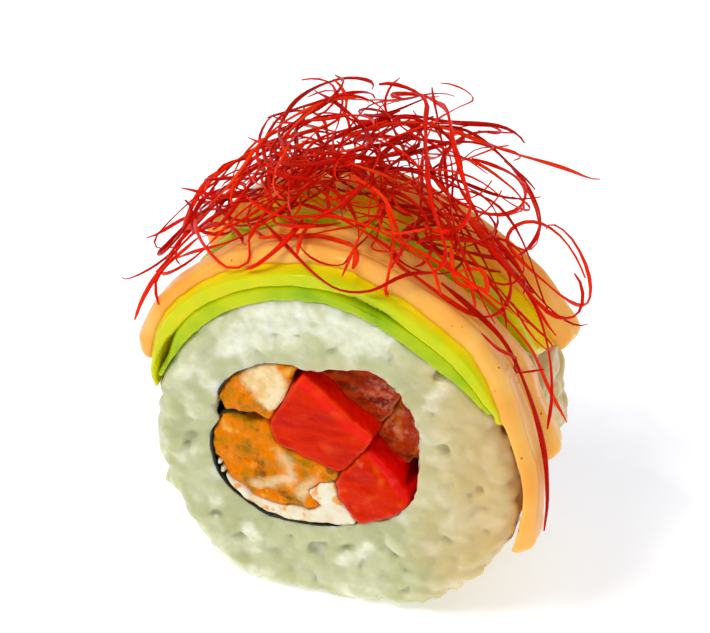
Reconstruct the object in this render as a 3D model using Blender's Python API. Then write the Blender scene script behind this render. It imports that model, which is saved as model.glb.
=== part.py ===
"""One cut piece of an uramaki roll: rice, nori and fillings, with avocado, sauce and chilli on top.

The piece stands on its rice like a wheel. The roll's axis runs along Y, the front cut face looks along
-Y, and Z is up. The origin is on the table, under the axis and half way between the two cut faces.
Angles are in degrees round the roll's axis: 0 is the right-hand side and 90 is the top.
"""

import math
import random

import bmesh
import bpy
from mathutils import Vector, noise

MM = 0.001  # the dimensions are in millimetres, and the scene is in metres

# The roll
LENGTH = 24.0  # between the two cut faces
AXIS_HEIGHT = 20.7  # of the roll's axis above the table, a little less than the rice's radius
RICE_RADII = (22.5, 21.9, 21.3, 23.3, 23.3, 22.2, 22.5, 22.5, 23.3, 21.6, 22.0, 22.4)  # every 30 degrees
FILLING_CENTRE = (-2.0, 2.5)  # of the hole in the rice, from the roll's axis: right and up
HOLE_RADII = (13.4, 14.7, 14.9, 11.7, 12.8, 13.6, 13.4, 14.7, 14.3, 12.8, 13.0, 14.0)  # every 30 degrees
RICE_EDGE = 1.2  # radius of the rounding where the rice meets a cut face
GRAIN_DENT = 0.9  # how deep the hollows between the outer grains are
RICE_STEPS = 80  # points round the rice
GRAIN_STATIONS = 6  # loops of grains along the rice

# Gaps and skins
GAP = 0.3  # between neighbouring pieces
NORI = 0.4  # thickness of the seaweed sheet
LINING = GAP + NORI + GAP  # from the hole's wall to the fillings

# Avocado
SLICE = 2.0  # thickness of an avocado slice
SLICE_TAPER = 24.0  # over this angle a slice thins towards its end
SLICE_END = 14.0  # over this angle a slice narrows to its round end
UNDER_ANGLES = (32.0, 160.0)
UNDER_DEPTH = 6.5  # how far the lowest slice reaches behind the front cut face
FRONT_ANGLES = (27.0, 166.0)
FRONT_DEPTH = 13.5
REAR_ANGLES = (22.0, 162.0)
REAR_START = 12.2

# Sauce
SAUCE = 1.9  # height of a ribbon of sauce
SAUCE_GAP = 0.45  # under it, more than elsewhere because both surfaces curve
SAUCE_END = 5.5  # over this angle a ribbon rounds off at its end
FRONT_RIBBON_ANGLES = (-24.0, 160.0)
MIDDLE_RIBBON_ANGLES = (0.0, 152.0)
REAR_RIBBON_ANGLES = (18.0, 150.0)
GROOVE = 6.7  # depth of the groove between the two front ribbons
RIBBON_END = 11.3
REAR_RIBBON = (18.6, 23.4)

# The toppings' meshes
ALONG = 25  # sections along a slice or a ribbon
ACROSS = 6  # steps across it

# Chilli threads
HEAP_CENTRE = (-3.0, 4.0)  # seen from above
HEAP_BED = (6.9, 5.6)  # its underside's height above the rice, over the front ribbons and behind them
HEAP_HEIGHT = 7.2
HEAP_STRAND = 2.0  # height of the bunched threads that wind over it
HEAP_REACH = (18.5, 12.0)  # of the tangle along X and Y, without its loose ends
LOOSE_ENDS = (  # of each bunch: its direction, half its width, its length, how it stands up and how it bends
    (-14, 10, 6.0, 0.5, 6), (2, 9, 3.5, 2.5, -8), (15, 10, 8.0, 1.0, -5), (34, 9, 3.5, 3.0, 9),
    (51, 11, 4.5, 0.5, -7), (70, 9, 2.5, 2.5, 9), (88, 11, 5.0, 2.0, -6), (107, 9, 3.0, 3.5, 8),
    (124, 11, 4.5, 0.0, 8), (142, 9, 2.5, 3.0, -9), (157, 10, 6.0, 1.0, 7), (172, 9, 3.5, 3.0, -8),
    (186, 10, 6.8, 0.0, 5), (204, 10, 5.0, 2.0, -7), (222, 9, 3.5, 0.0, 5), (241, 10, 4.0, 1.5, -9),
    (258, 9, 2.5, 1.0, 8), (276, 11, 4.5, 0.0, -6), (295, 9, 3.0, 1.0, 9), (314, 10, 4.5, 0.0, -5),
    (332, 9, 3.0, 2.0, 7),
)
HEAP_DROOP = 0.4  # how far it sinks for each mm that it hangs out behind the roll
HEAP_STEPS = 96


# --- shapes ------------------------------------------------------------------------------------


def smooth(t, low, high):
    """0 below low, 1 above high and an even S between them."""
    x = min(1.0, max(0.0, (t - low) / (high - low)))
    return x * x * (3 - 2 * x)


def round_curve(radii, angle):
    """The radius at an angle, on the smooth closed curve through evenly spaced radii."""
    count = len(radii)
    place = (angle % 360.0) / 360.0 * count
    i = int(place)
    f = place - i
    p0, p1, p2, p3 = (radii[(i + k) % count] for k in (-1, 0, 1, 2))
    return p1 + 0.5 * f * (p2 - p0 + f * (2 * p0 - 5 * p1 + 4 * p2 - p3 + f * (3 * (p1 - p2) + p3 - p0)))


def rice_radius(angle):
    return round_curve(RICE_RADII, angle)


def on_roll(angle, radius, y):
    """The point at this angle and radius from the roll's axis, or on the table where that is below it."""
    turn = math.radians(angle)
    height = AXIS_HEIGHT + radius * math.sin(turn)
    return (radius * math.cos(turn), y, max(0.0, height))


def on_hole(angle, inset, y=0.0):
    """The point on the wall of the hole in the rice, moved towards the filling's centre by inset."""
    turn = math.radians(angle)
    radius = round_curve(HOLE_RADII, angle) - inset
    u = FILLING_CENTRE[0] + radius * math.cos(turn)
    w = FILLING_CENTRE[1] + radius * math.sin(turn)
    return (u, y, AXIS_HEIGHT + w)


def food(name, colour, roughness):
    """A plain food material."""
    material = bpy.data.materials.new(name)
    material.use_nodes = True
    shader = material.node_tree.nodes["Principled BSDF"]
    shader.inputs["Base Color"].default_value = (*colour, 1.0)
    shader.inputs["Roughness"].default_value = roughness
    shader.inputs["Metallic"].default_value = 0.0
    return material


def loft(name, material, rings, closed=False):
    """A solid with these rings of points as its sections, capped at both ends or closed on itself."""
    shape = bmesh.new()
    loops = [[shape.verts.new([c * MM for c in point]) for point in ring] for ring in rings]
    following = loops[1:] + loops[:1] if closed else loops[1:]
    for loop, after in zip(loops, following):
        for i in range(len(loop)):
            j = (i + 1) % len(loop)
            shape.faces.new((loop[i], loop[j], after[j], after[i]))
    if not closed:
        shape.faces.new(loops[0][::-1])
        shape.faces.new(loops[-1])
    bmesh.ops.recalc_face_normals(shape, faces=shape.faces)
    return finished(name, material, shape)


def finished(name, material, shape):
    """Makes the object, shaded smooth except at its sharp edges."""
    mesh = bpy.data.meshes.new(name)
    shape.to_mesh(mesh)
    shape.free()
    mesh.shade_smooth()
    mesh.set_sharp_from_angle(angle=math.radians(50))
    mesh.materials.append(material)
    made = bpy.data.objects.new(name, mesh)
    bpy.context.scene.collection.objects.link(made)
    return made


def inset_outline(points, distance):
    """The same closed outline, listed anticlockwise, with every side moved inwards by distance."""
    moved = []
    for before, here, after in zip(points[-1:] + points[:-1], points, points[1:] + points[:1]):
        normals = []
        for a, b in ((before, here), (here, after)):
            long = math.dist(a, b)
            normals.append(((a[1] - b[1]) / long, (b[0] - a[0]) / long))
        (ax, ay), (bx, by) = normals
        reach = distance / max(0.3, 1 + ax * bx + ay * by)
        moved.append((here[0] + (ax + bx) * reach, here[1] + (ay + by) * reach))
    return moved


def filling(name, material, sides, front, rear):
    """A bar of filling that runs through the roll. sides lists its corners as seen from the front,
    anticlockwise: ("corner", right, up) from the roll's axis, or ("wall", from angle, to angle) along the
    nori. front and rear say how far its ends lie inside the cut faces."""
    outline = []
    for kind, first, second in sides:
        if kind == "corner":
            outline.append((first, second))
            continue
        steps = max(2, round((second - first) / 10))
        for i in range(steps + 1):
            u, _, z = on_hole(first + (second - first) * i / steps, LINING)
            outline.append((u, z - AXIS_HEIGHT))
    outline = inset_outline(outline, GAP / 2)
    shape = bmesh.new()
    start = LENGTH / 2 - front
    corners = [(u * MM, -start * MM, (AXIS_HEIGHT + w) * MM) for u, w in outline]
    face = shape.faces.new([shape.verts.new(corner) for corner in corners])
    pulled = bmesh.ops.extrude_face_region(shape, geom=[face])
    moved = [v for v in pulled["geom"] if isinstance(v, bmesh.types.BMVert)]
    bmesh.ops.translate(shape, verts=moved, vec=(0, (start + LENGTH / 2 - rear) * MM, 0))
    bmesh.ops.recalc_face_normals(shape, faces=shape.faces)
    bar = finished(name, material, shape)
    rounding = bar.modifiers.new("Rounded edges", "BEVEL")
    rounding.width = 0.4 * MM
    rounding.segments = 2
    rounding.limit_method = "ANGLE"
    rounding.angle_limit = math.radians(35)
    return bar


def round_end(angle, angles, span):
    """0.15 at both ends, rising to 1 like a quarter of a circle over the span next to them."""
    inside = min(angle - angles[0], angles[1] - angle)
    outside = 1 - min(1.0, max(0.0, inside / span))
    return max(0.15, math.sqrt(1 - outside**2))


def covering(name, material, angles, edges, bed, thickness):
    """A layer laid over the roll, from one angle to another. edges(angle) gives its front and rear edges as
    depths behind the front cut face, bed(angle, depth) the height of its underside above the rice, and
    thickness(angle, depth, across) its thickness, where across goes from 0 to 1 between the edges."""
    rings = []
    for i in range(ALONG + 1):
        along = i / ALONG - 0.1 * math.sin(2 * math.pi * i / ALONG)
        angle = angles[0] + (angles[1] - angles[0]) * along
        low, high = edges(angle)
        under, over = [], []
        for j in range(ACROSS + 1):
            across = (1 - math.cos(math.pi * j / ACROSS)) / 2
            depth = low + (high - low) * across
            radius = rice_radius(angle) + bed(angle, depth)
            y = depth - LENGTH / 2
            under.append(on_roll(angle, radius, y))
            over.append(on_roll(angle, radius + thickness(angle, depth, across), y))
        rings.append(under + over[::-1])
    return loft(name, material, rings)


# --- rice and nori -----------------------------------------------------------------------------


def rice():
    """A thick ring, hollowed between its outer grains and pressed flat where it rests on the table."""
    grains = random.Random(7)
    half = LENGTH / 2
    stations = [(-half, RICE_EDGE), (0.35 * RICE_EDGE - half, 0.35 * RICE_EDGE)]
    spread = LENGTH - 2 * RICE_EDGE
    stations += [(RICE_EDGE - half + spread * i / GRAIN_STATIONS, 0.0) for i in range(GRAIN_STATIONS + 1)]
    stations += [(half - 0.35 * RICE_EDGE, 0.35 * RICE_EDGE), (half, RICE_EDGE)]
    angles = [360.0 * i / RICE_STEPS for i in range(RICE_STEPS)]
    rings = []
    for y, inset in stations:
        dents = [grains.uniform(0, GRAIN_DENT) for _ in angles]
        rings.append([on_roll(a, rice_radius(a) - inset - dent, y) for a, dent in zip(angles, dents)])
    for y in (half, 0.0, -half):
        rings.append([on_hole(a, 0.0, y) for a in angles])
    return loft("rice", food("Cooked rice", (0.80, 0.79, 0.68), 0.45), rings, closed=True)


NORI_TAIL = ((-10.6, 4.4), (-12.4, 4.45), (-13.7, 4.1), (-14.35, 3.0))  # the end between the fillings
NORI_START = 184.0  # the angle where the tail joins the wall of rice
NORI_TURN = 343.0  # how far it goes round from there
NORI_STEPS = 50


def nori():
    """A sheet wrapped once round the fillings, with its inner end tucked between them."""
    line = [(u, AXIS_HEIGHT + w) for u, w in NORI_TAIL]
    for i in range(NORI_STEPS + 1):
        u, _, z = on_hole(NORI_START + NORI_TURN * i / NORI_STEPS, GAP + NORI / 2)
        line.append((u, z))
    rings = []
    last = len(line) - 1
    for i, (u, z) in enumerate(line):
        (u0, z0), (u1, z1) = line[max(0, i - 1)], line[min(last, i + 1)]
        long = math.hypot(u1 - u0, z1 - z0)
        side = (-(z1 - z0) / long * NORI / 2, (u1 - u0) / long * NORI / 2)
        half = LENGTH / 2 - 0.1
        rings.append([
            (u + side[0] * way, y, z + side[1] * way)
            for way, y in ((1, -half), (-1, -half), (-1, half), (1, half))
        ])
    return loft("nori", food("Seaweed sheet", (0.012, 0.02, 0.012), 0.5), rings)


# --- fillings ----------------------------------------------------------------------------------


def fillings():
    """Four bars of tomato, two of breaded fillet and a bed of cream cheese, packed against each other."""
    tomato = food("Tomato flesh", (0.72, 0.03, 0.01), 0.25)
    breaded = food("Breaded fillet", (0.75, 0.32, 0.05), 0.6)
    cheese = food("Cream cheese", (0.87, 0.84, 0.76), 0.4)
    # Corners that neighbours share, from the roll's axis
    top = (-3.6, 12.9)
    fillet_notch = (-7.9, 4.4)
    middle_left = (-7.0, 1.3)
    middle_low = (0.9, -1.2)
    crossing = (4.4, 3.2)
    upper_low = (5.2, 5.4)
    upper_right = (7.6, 9.6)
    curd = ((0.3, -2.9), (-1.6, -3.3), (-2.9, -4.9), (-1.4, -6.9))
    bed = ((-3.2, -7.7), (-6.7, -7.9), (-10.2, -7.4), (-13.2, -4.9))
    low_left = ((2.3, -7.0), (0.8, -5.2))

    def corners(*points):
        return [("corner", *point) for point in points]

    filling("tomato_middle", tomato,
            corners(top, (-5.6, 9.3), fillet_notch, middle_left, middle_low, crossing, upper_low), 0.0, 0.5)
    filling("tomato_upper", tomato,
            [("wall", 42, 97), *corners(top, upper_low, upper_right)], 2.6, 1.2)
    filling("tomato_right", tomato,
            [("wall", 4, 38), *corners(upper_right, upper_low, crossing, (8.6, -0.3))], 3.0, 0.3)
    filling("tomato_lower", tomato,
            [("wall", 296, 329),
             *corners((8.6, -0.3), crossing, middle_low, curd[0], *low_left[::-1])], 0.0, 2.2)
    filling("fillet_upper", breaded,
            [("wall", 103, 164), *corners((-10.3, 5.0), fillet_notch, (-5.6, 9.3))], 0.3, 0.8)
    filling("fillet_lower", breaded,
            [*corners((-13.4, 3.6)), ("wall", 188, 199),
             *corners(*bed[::-1], *curd[::-1], middle_low, middle_left, fillet_notch, (-10.0, 3.7))],
            0.4, 0.2)
    filling("cream_cheese", cheese,
            [("wall", 201, 294), *corners(*low_left, *curd, *bed)], 0.3, 0.4)


# --- toppings ----------------------------------------------------------------------------------


def tapered(angle, angles):
    """A slice's share of its full thickness, thin at both ends and nothing beyond them."""
    inside = min(angle - angles[0], angles[1] - angle)
    return smooth(inside, -5, 0) * (0.3 + 0.7 * smooth(inside, 0, SLICE_TAPER))


def under_slice(angle, depth):
    """Thickness of the lowest slice, a wedge that runs out under the next one."""
    return (SLICE - 0.2 * depth) * tapered(angle, UNDER_ANGLES)


def front_bed(angle, depth):
    """Height above the rice of the underside of the front slice, which climbs over the lowest one."""
    over_under = (GAP + under_slice(angle, depth)) * smooth(-depth, -UNDER_DEPTH - 2, -UNDER_DEPTH)
    inside = min(angle - UNDER_ANGLES[0], UNDER_ANGLES[1] - angle)
    return GAP + over_under * smooth(inside, -5, 0)


def front_slice(angle, depth):
    return (SLICE - 0.9 * smooth(depth, UNDER_DEPTH + 2, FRONT_DEPTH)) * tapered(angle, FRONT_ANGLES)


def rear_bed(angle, depth):
    """Height above the rice of the underside of the rear slice, whose front edge lies on the front one."""
    over_front = front_slice(angle, REAR_START) + GAP + 0.1
    return GAP + over_front * smooth(-depth, -FRONT_DEPTH - 3, -FRONT_DEPTH - 0.3)


def rear_slice(angle, depth):
    return SLICE * tapered(angle, REAR_ANGLES)


def avocado_top(angle, depth):
    """Height above the rice of whatever avocado lies at this place, for the sauce to lie on."""
    if depth < (RIBBON_END + REAR_START) / 2:
        return front_bed(angle, depth) + front_slice(angle, depth)
    return rear_bed(angle, depth) + rear_slice(angle, depth)


def avocado():
    """Three slices laid over the top of the roll, each one lapping over the slice in front of it."""
    flesh = food("Avocado flesh", (0.55, 0.65, 0.06), 0.35)

    def outline(angles, front, rear, share):
        """The edges of a slice with round ends, where the front edge gives this share of the narrowing."""

        def edges(angle):
            cut = (rear - front) * (1 - round_end(angle, angles, SLICE_END))
            wave = 0.3 * math.sin(math.radians(3 * angle)) if front else 0.0
            return front + wave + share * cut, rear - (1 - share) * cut

        return edges

    def bevelled(height):
        """The same thickness, a little less at the front and rear edges."""
        return lambda angle, depth, across: height(angle, depth) * (1 - 0.25 * abs(2 * across - 1) ** 8)

    covering("avocado_under", flesh, UNDER_ANGLES, outline(UNDER_ANGLES, 0.0, UNDER_DEPTH, 0.1),
             lambda angle, depth: GAP, bevelled(under_slice))
    covering("avocado_front", flesh, FRONT_ANGLES, outline(FRONT_ANGLES, 0.0, FRONT_DEPTH, 0.1),
             front_bed, bevelled(front_slice))
    covering("avocado_rear", flesh, REAR_ANGLES, outline(REAR_ANGLES, REAR_START, LENGTH, 0.8),
             rear_bed, bevelled(rear_slice))


def ribbon(name, material, angles, edges):
    """A ribbon of sauce with a domed section and round ends, thicker where it hangs down the sides."""

    def narrowed(angle):
        front, rear = edges(angle)
        cut = (rear - front) / 2 * (1 - round_end(angle, angles, SAUCE_END))
        return front + cut, rear - cut

    def dome(angle, depth, across):
        inside = min(angle - angles[0], angles[1] - angle)
        swell = 1 + 0.4 * smooth(inside, 0, SAUCE_END) * smooth(-inside, -3 * SAUCE_END, -SAUCE_END)
        side = math.sqrt(1 - (2 * across - 1) ** 2)
        return max(GAP, SAUCE * swell * side * round_end(angle, angles, SAUCE_END))

    def bed(angle, depth):
        return avocado_top(angle, depth) + SAUCE_GAP

    covering(name, material, angles, narrowed, bed, dome)


def sauce():
    """Three ribbons of thick sauce across the roll, running down its right-hand side."""
    mayonnaise = food("Spiced mayonnaise", (0.90, 0.42, 0.16), 0.3)

    def groove(angle):
        return GROOVE + 0.4 * math.sin(math.radians(4 * angle))

    def front_edges(angle):
        return 0.6 + 1.5 * max(0.0, math.sin(math.radians(angle))) ** 3, groove(angle) - GAP / 2

    def middle_edges(angle):
        return groove(angle) + GAP / 2, RIBBON_END + 0.3 * math.sin(math.radians(5 * angle))

    def rear_edges(angle):
        wave = 0.5 * math.sin(math.radians(4 * angle + 60))
        return REAR_RIBBON[0] + wave, REAR_RIBBON[1] + 0.5 * wave

    ribbon("sauce_front", mayonnaise, FRONT_RIBBON_ANGLES, front_edges)
    ribbon("sauce_middle", mayonnaise, MIDDLE_RIBBON_ANGLES, middle_edges)
    ribbon("sauce_rear", mayonnaise, REAR_RIBBON_ANGLES, rear_edges)


def loose_ends(turn, share):
    """How far the bunches of loose ends reach out past the oval tangle in this direction, and how far they
    stand up, at this share of the way from the heap's centre to its outline."""
    reach, rise = 0.0, 0.0
    for place, width, length, lift, bend in LOOSE_ENDS:
        out = smooth(share, 0.55, 1)
        apart = abs((turn - place - bend * out + 180) % 360 - 180)
        strength = (1 - smooth(apart, 0.2 * width, width)) * out
        reach += length * strength
        rise += lift * strength
    return reach, rise


def heap_floor(x, y):
    """Height over the table of the heap's underside, which lies on the sauce."""
    front, rear = HEAP_BED
    bed = front + (rear - front) * smooth(y, -2.0, 3.0)
    rise = 25.0
    for _ in range(3):
        reach = rice_radius(math.degrees(math.atan2(rise, x))) + bed
        rise = math.sqrt(reach**2 - min(abs(x), reach - 1) ** 2)
    return AXIS_HEIGHT + rise - HEAP_DROOP * max(0.0, y - LENGTH / 2)


def chilli_threads():
    """The nest of shredded chilli, as one solid out to its uneven outline."""

    def ring(share, top):
        points = []
        for i in range(HEAP_STEPS):
            turn = 360.0 * i / HEAP_STEPS
            along, across = math.cos(math.radians(turn)), math.sin(math.radians(turn))
            loose, rise = loose_ends(turn, share)
            reach = share / math.hypot(along / HEAP_REACH[0], across / HEAP_REACH[1]) + loose
            x, y = HEAP_CENTRE[0] + reach * along, HEAP_CENTRE[1] + reach * across
            height = heap_floor(x, y) + rise
            if top:
                lump = noise.noise(Vector((x, y, 0)) / 6)
                spin = math.radians(turn) + 0.5 * lump
                strands = max(abs(math.sin(5 * spin + 14 * share)), abs(math.sin(4 * spin - 12 * share)))
                dome = (HEAP_HEIGHT + 4.0 * lump) * (1 - share**2) ** 0.6
                height += 0.6 + dome + HEAP_STRAND * strands * smooth(share, 0.05, 0.5)
            points.append((x, y, height))
        return points

    over = [ring(share, True) for share in (0.07, 0.2, 0.33, 0.45, 0.57, 0.69, 0.8, 0.9, 1.0)]
    under = [ring(share, False) for share in (1.0, 0.88, 0.75, 0.5)]
    return loft("chilli_threads", food("Shredded chilli", (0.55, 0.01, 0.01), 0.5), over + under)


def main():
    for obj in list(bpy.data.objects):
        bpy.data.objects.remove(obj)
    rice()
    nori()
    fillings()
    avocado()
    sauce()
    chilli_threads()


main()
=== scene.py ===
# %% [markdown]
# # A piece of uramaki
# Uramaki is a sushi roll turned inside out: the rice is on the outside and the nori wraps the fillings.
# This piece also carries avocado, ribbons of spiced mayonnaise and a nest of shredded chilli.
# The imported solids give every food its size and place. Each cell below turns one of them into the real
# thing: grains, crumbs, wet tomato, soft sauce and more than a hundred threads.

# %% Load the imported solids
import math
import random
from functools import partial

import bmesh
import bpy
import numpy as np
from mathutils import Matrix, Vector, noise
from mathutils.bvhtree import BVHTree


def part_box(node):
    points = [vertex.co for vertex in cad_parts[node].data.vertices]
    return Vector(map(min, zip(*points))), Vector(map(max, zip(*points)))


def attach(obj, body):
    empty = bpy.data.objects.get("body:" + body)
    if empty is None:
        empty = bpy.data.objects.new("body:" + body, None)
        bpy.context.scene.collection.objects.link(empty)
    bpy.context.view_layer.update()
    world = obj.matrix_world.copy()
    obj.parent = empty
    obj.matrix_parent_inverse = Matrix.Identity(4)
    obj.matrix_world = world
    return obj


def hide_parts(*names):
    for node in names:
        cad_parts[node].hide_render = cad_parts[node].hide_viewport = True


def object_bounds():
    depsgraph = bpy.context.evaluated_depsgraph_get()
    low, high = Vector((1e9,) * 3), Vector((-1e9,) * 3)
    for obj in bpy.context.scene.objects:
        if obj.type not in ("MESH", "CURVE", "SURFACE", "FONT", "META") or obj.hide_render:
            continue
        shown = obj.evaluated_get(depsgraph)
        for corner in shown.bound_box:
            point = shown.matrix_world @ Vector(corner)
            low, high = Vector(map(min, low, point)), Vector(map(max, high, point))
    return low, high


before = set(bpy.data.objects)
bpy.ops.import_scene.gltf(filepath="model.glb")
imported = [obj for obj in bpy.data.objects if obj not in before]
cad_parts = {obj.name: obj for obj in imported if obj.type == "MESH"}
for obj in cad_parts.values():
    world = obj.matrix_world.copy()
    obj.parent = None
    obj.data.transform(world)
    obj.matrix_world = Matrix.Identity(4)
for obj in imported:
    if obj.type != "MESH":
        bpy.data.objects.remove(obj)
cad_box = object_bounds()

MM = 0.001
rice_low, rice_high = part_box("rice")
FRONT = rice_low.y  # the front cut face
REAR = rice_high.y
AXIS = 20.7 * MM  # height of the roll's axis over the table
ROLL = Vector((0, 0, AXIS))  # the roll's axis passes through here, along Y
nori_low, nori_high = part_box("nori")
HOLE = Vector(((nori_low.x + nori_high.x) / 2, 0, (nori_low.z + nori_high.z) / 2))  # the nori's middle
print(f"the rice is {(rice_high.x - rice_low.x) / MM:.1f} mm wide and {(REAR - FRONT) / MM:.1f} mm long")

# %% [markdown]
# ## Helpers for shapes
# Soft food has no straight edges, so each faceted solid is copied, remeshed into small even quads and
# smoothed. After that its points are moved by short numpy functions: pressed against what they touch,
# roughened, flattened or drawn out. A mesh made this way stays one closed body.


# %% Reading and moving the points of a mesh
def rows_of(items, name):
    """One row of three numbers for each item."""
    flat = np.empty(len(items) * 3, np.float32)
    items.foreach_get(name, flat)
    return flat.reshape(-1, 3).astype(float)


def points_of(mesh):
    return rows_of(mesh.vertices, "co")


def normals_of(mesh):
    return rows_of(mesh.vertex_normals, "vector")


def move_points(mesh, points):
    mesh.vertices.foreach_set("co", points.astype(np.float32).ravel())
    mesh.update()


def pushed(points, ways, amounts):
    """The points, each moved this far its own way."""
    return points + ways * amounts[:, None]


def mark(mesh, **marks):
    """Stores numbers from 0 to 1, one per point, for a material or a node tree to read by their name."""
    for name, values in marks.items():
        attribute = mesh.attributes.new(name, "FLOAT", "POINT")
        attribute.data.foreach_set("value", np.clip(values, 0, 1).astype(np.float32))


# %% Numbers at each point
NEXT_NOISE = np.array((7.3, 3.1, 5.7))  # this far on, the noise has nothing in common with itself


def bumps(points, size, seed=0):
    """Smooth noise from -1 to 1 with features of this size in mm, at each point."""
    return np.array([noise.noise(place) for place in (points / (size * MM) + seed * NEXT_NOISE).tolist()])


def evened(mesh, values, rounds):
    """The values or points, each one averaged with its neighbours' this many times."""
    if values.ndim == 2:
        return np.stack([evened(mesh, column, rounds) for column in values.T], axis=1)
    flat = np.empty(len(mesh.edges) * 2, np.int32)
    mesh.edges.foreach_get("vertices", flat)
    a, b = flat.reshape(-1, 2).T
    count = np.bincount(a, minlength=len(values)) + np.bincount(b, minlength=len(values)) + 1
    for _ in range(rounds):
        total = values + np.bincount(a, values[b], len(values)) + np.bincount(b, values[a], len(values))
        values = total / count
    return values


def ease(values, low, high):
    """0 below low, 1 above high and an even S between them."""
    share = np.clip((values - low) / (high - low), 0, 1)
    return share * share * (3 - 2 * share)


def around(points, middle=ROLL):
    """Seen from the front, each point's angle round this middle in degrees (0 right, 90 top), its distance
    in mm and the way out to it."""
    x, z = points[:, 0] - middle.x, points[:, 2] - middle.z
    away = np.hypot(x, z)
    return np.degrees(np.arctan2(z, x)), away / MM, np.stack((x, 0 * x, z), axis=1) / away[:, None]


def beside_line(points, start, end):
    """How far each point lies to the upper right of the line between two places on the cut. A place is
    (right, up) in mm from the roll's axis."""
    along = Vector((end[0] - start[0], 0, end[1] - start[1])).normalized()
    from_start = points - np.array((start[0] * MM, 0, start[1] * MM + AXIS))
    return from_start @ np.array((-along.z, 0, along.x))


# %% Making objects, and handing them to the frame
def new_object(name, mesh, material=None):
    made = bpy.data.objects.new(name, mesh)
    bpy.context.scene.collection.objects.link(made)
    if material:
        mesh.materials.clear()
        mesh.materials.append(material)
    mesh.shade_smooth()
    return made


def baked(made, name, material=None):
    """The object with its modifiers turned into plain mesh, under a name of its own."""
    bpy.context.view_layer.update()
    seen = made.evaluated_get(bpy.context.evaluated_depsgraph_get())
    mesh = bpy.data.meshes.new_from_object(seen)
    bpy.data.objects.remove(made)
    return new_object(name, mesh, material)


def serve(made, slot, *nodes):
    """A finished piece rides on the only body and stands for its solids."""
    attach(made, "root")
    if nodes:
        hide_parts(*nodes)
    triangles = sum(len(face.vertices) - 2 for face in made.data.polygons)
    print(f"{made.name}: {triangles} triangles, for {', '.join(nodes) or 'what lies on the others'}")
    return made


# %% Copies of the solids, remeshed fine
def joined(*meshes):
    """One bmesh with a copy of each mesh."""
    shape = bmesh.new()
    for mesh in meshes:
        shape.from_mesh(mesh)
    return shape


def plain_mesh(shape):
    """A finished bmesh as a mesh."""
    mesh = bpy.data.meshes.new("copy")
    shape.to_mesh(mesh)
    shape.free()
    return mesh


def solid_mesh(*nodes):
    """One mesh with a merged copy of these solids."""
    shape = joined(*[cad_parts[node].data for node in nodes])
    bmesh.ops.remove_doubles(shape, verts=shape.verts, dist=0.001 * MM)
    return plain_mesh(shape)


def surface_of(mesh):
    """A search tree of the mesh's faces."""
    return BVHTree.FromPolygons([v.co for v in mesh.vertices], [f.vertices for f in mesh.polygons])


def fine_copy(name, mesh, voxel, smoothing, material=None):
    """An even quad mesh of the same shape, with its corners rounded off."""
    made = new_object("rough", mesh)
    remesh = made.modifiers.new("Even quads", "REMESH")
    remesh.mode = "VOXEL"
    remesh.voxel_size = voxel
    if smoothing:
        soften = made.modifiers.new("Soft corners", "SMOOTH")
        soften.iterations = smoothing
        soften.factor = 0.5
    return baked(made, name, material)


# %% Fitting a food to its neighbours
ALL_NODES = sorted(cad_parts)
nori_surface = surface_of(solid_mesh("nori"))


def food(node, name, voxel, smoothing, material, share=0.48, to_nori=0.7 * MM):
    """A fine copy of a solid that meets its neighbours. The solids keep a small gap between them: each point
    moves this share of the way to what it faces, and nearly all the way to nori that lies within to_nori. The
    moves are evened out, so nothing creases. Returns the object, its points and its normals."""
    made = fine_copy(name, solid_mesh(node), voxel, smoothing, material)
    others = surface_of(solid_mesh(*[other for other in ALL_NODES if other != node]))
    points, normals = points_of(made.data), normals_of(made.data)
    moves = np.zeros(len(points))
    reach = 0.7 * MM
    for i, (point, normal) in enumerate(zip(points, normals)):
        hit, _, _, distance = others.ray_cast(Vector(point), Vector(normal), max(reach, to_nori))
        if hit and nori_surface.find_nearest(hit, 0.01 * MM)[0]:
            moves[i] = distance * 0.93
        elif hit and distance < reach:
            moves[i] = distance * share
    move_points(made.data, pushed(points, normals, evened(made.data, moves, 4)))
    return made, points_of(made.data), normals_of(made.data)


def wavered(points):
    """The fillings' points, all moved by one field of noise, so that neighbours waver alike and no joint
    between them is straight. Nothing moves at the nori."""
    from_nori = np.array([nori_surface.find_nearest(Vector(point))[3] for point in points])
    free = ease(from_nori, 0.3 * MM, 1.5 * MM) * MM
    for k, seed in ((0, 91), (2, 95)):
        long, short = bumps(points * np.array((1, 0.5, 1)), 2.4, seed), bumps(points, 0.9, seed + 1)
        points[:, k] += free * (0.3 * long + 0.14 * short)
    return points


# %% [markdown]
# ## Helpers for materials
# Colours are written as the hex values that a colour picker shows, and Blender wants them linear, so one
# function converts them. Another adds a node to a tree with its settings, values and links in one go. The
# marks that a piece carries on its points, such as where it is pale, reach its material by their names.


# %% Colours and nodes
def linear(hex_colour):
    """#rrggbb as linear red, green, blue and an alpha of 1."""
    parts = [int(hex_colour[i : i + 2], 16) / 255 for i in (1, 3, 5)]
    return [c / 12.92 if c <= 0.04045 else ((c + 0.055) / 1.055) ** 2.4 for c in parts] + [1.0]


def output_of(source):
    """The socket itself, or a node's first output that is in use."""
    if isinstance(source, bpy.types.NodeSocket):
        return source
    return next(socket for socket in source.outputs if socket.enabled)


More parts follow.
